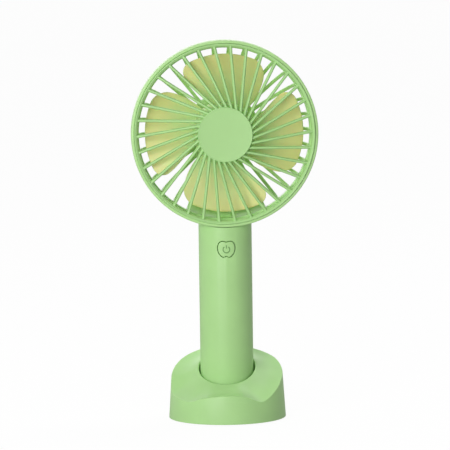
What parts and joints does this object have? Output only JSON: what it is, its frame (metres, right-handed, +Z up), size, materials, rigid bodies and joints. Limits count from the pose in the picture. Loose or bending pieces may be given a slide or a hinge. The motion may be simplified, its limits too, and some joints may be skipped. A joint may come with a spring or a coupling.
{
  "type": "handheld electric fan",
  "caption": "Cordless hand fan with a round caged head, tube handle with a push button, and a low round desk stand with a sloping dished top.",
  "frame": {"origin": "centre of the stand's footprint, at the underside of its feet", "axes": "+Z up along the handle; -Y is the front, where the air leaves; +X is to the right as seen from the front"},
  "size_m": [0.1014, 0.064, 0.2076],
  "materials": {
    "lime_plastic": "satin moulded plastic, pale lime green",
    "guard_plastic": "satin moulded plastic, lime green",
    "blade_plastic": "smooth moulded plastic, yellowish green",
    "foot_rubber": "matte pale grey rubber",
    "screw_steel": "bright zinc plate",
    "shaft_steel": "ground steel",
    "motor_can_steel": "drawn steel can, plated",
    "clamp_steel": "stamped steel plate",
    "port_steel": "bright folded steel",
    "nickel_strip": "nickel strip",
    "cell_wrap": "blue shrink sleeve over a steel can",
    "black_plastic": "black moulded plastic",
    "board_laminate": "green solder mask",
    "clear_lens": "clear moulded light guide",
    "diode_resin": "clear resin over phosphor",
    "red_insulation": "soft red insulation",
    "black_insulation": "soft black insulation"
  },
  "bodies": {
    "stand": {"stand_shell": "lime_plastic", "stand_plate": "lime_plastic", "stand_screw_front": "screw_steel", "stand_screw_right": "screw_steel", "stand_screw_back": "screw_steel", "stand_screw_left": "screw_steel", "stand_foot_front_right": "foot_rubber", "stand_foot_back_right": "foot_rubber", "stand_foot_back_left": "foot_rubber", "stand_foot_front_left": "foot_rubber"},
    "handset": {"handle_front_shell": "lime_plastic", "handle_rear_shell": "lime_plastic", "handle_end_cap": "lime_plastic", "handle_screw_neck": "screw_steel", "handle_screw_lower": "screw_steel", "switch_body": "black_plastic", "circuit_board": "board_laminate", "charge_port_shell": "port_steel", "charge_port_insert": "black_plastic", "charge_light_lens": "clear_lens", "charge_light_diode": "diode_resin", "battery_cell": "cell_wrap", "cell_tab_bottom": "nickel_strip", "cell_tab_top": "nickel_strip", "cell_lead_red": "red_insulation", "cell_lead_black": "black_insulation", "motor_lead_red": "red_insulation", "motor_lead_black": "black_insulation", "rear_guard": "guard_plastic", "motor_can": "motor_can_steel", "motor_end_bell": "black_plastic", "motor_clamp_plate": "clamp_steel", "motor_screw_left": "screw_steel", "motor_screw_right": "screw_steel"},
    "rotor": {"fan_rotor": "blade_plastic", "motor_shaft": "shaft_steel"},
    "front_guard": {"front_guard": "lime_plastic"},
    "power_button": {"power_button": "lime_plastic"},
    "switch_plunger": {"switch_plunger": "black_plastic"}
  },
  "joints": [
    {"name": "handset_lift", "type": "slide", "parent": "stand", "child": "handset", "axis": [0, 0, 1], "range_m": [0, 0.04]},
    {"name": "rotor_spin", "type": "hinge", "parent": "handset", "child": "rotor", "pos_m": [0, 0, 0.1569], "axis": [0, 1, 0], "continuous": true},
    {"name": "guard_twist", "type": "hinge", "parent": "handset", "child": "front_guard", "pos_m": [0, 0, 0.1569], "axis": [0, -1, 0], "range_deg": [0, 15]},
    {"name": "button_press", "type": "slide", "parent": "handset", "child": "power_button", "axis": [0, 1, 0], "range_m": [0, 0.0005], "stiffness_N_per_m": 400},
    {"name": "plunger_press", "type": "slide", "parent": "handset", "child": "switch_plunger", "axis": [0, 1, 0], "range_m": [0, 0.0005]}
  ],
  "couplings": [
    {"joint": "plunger_press", "follows": "button_press", "ratio": 1}
  ]
}
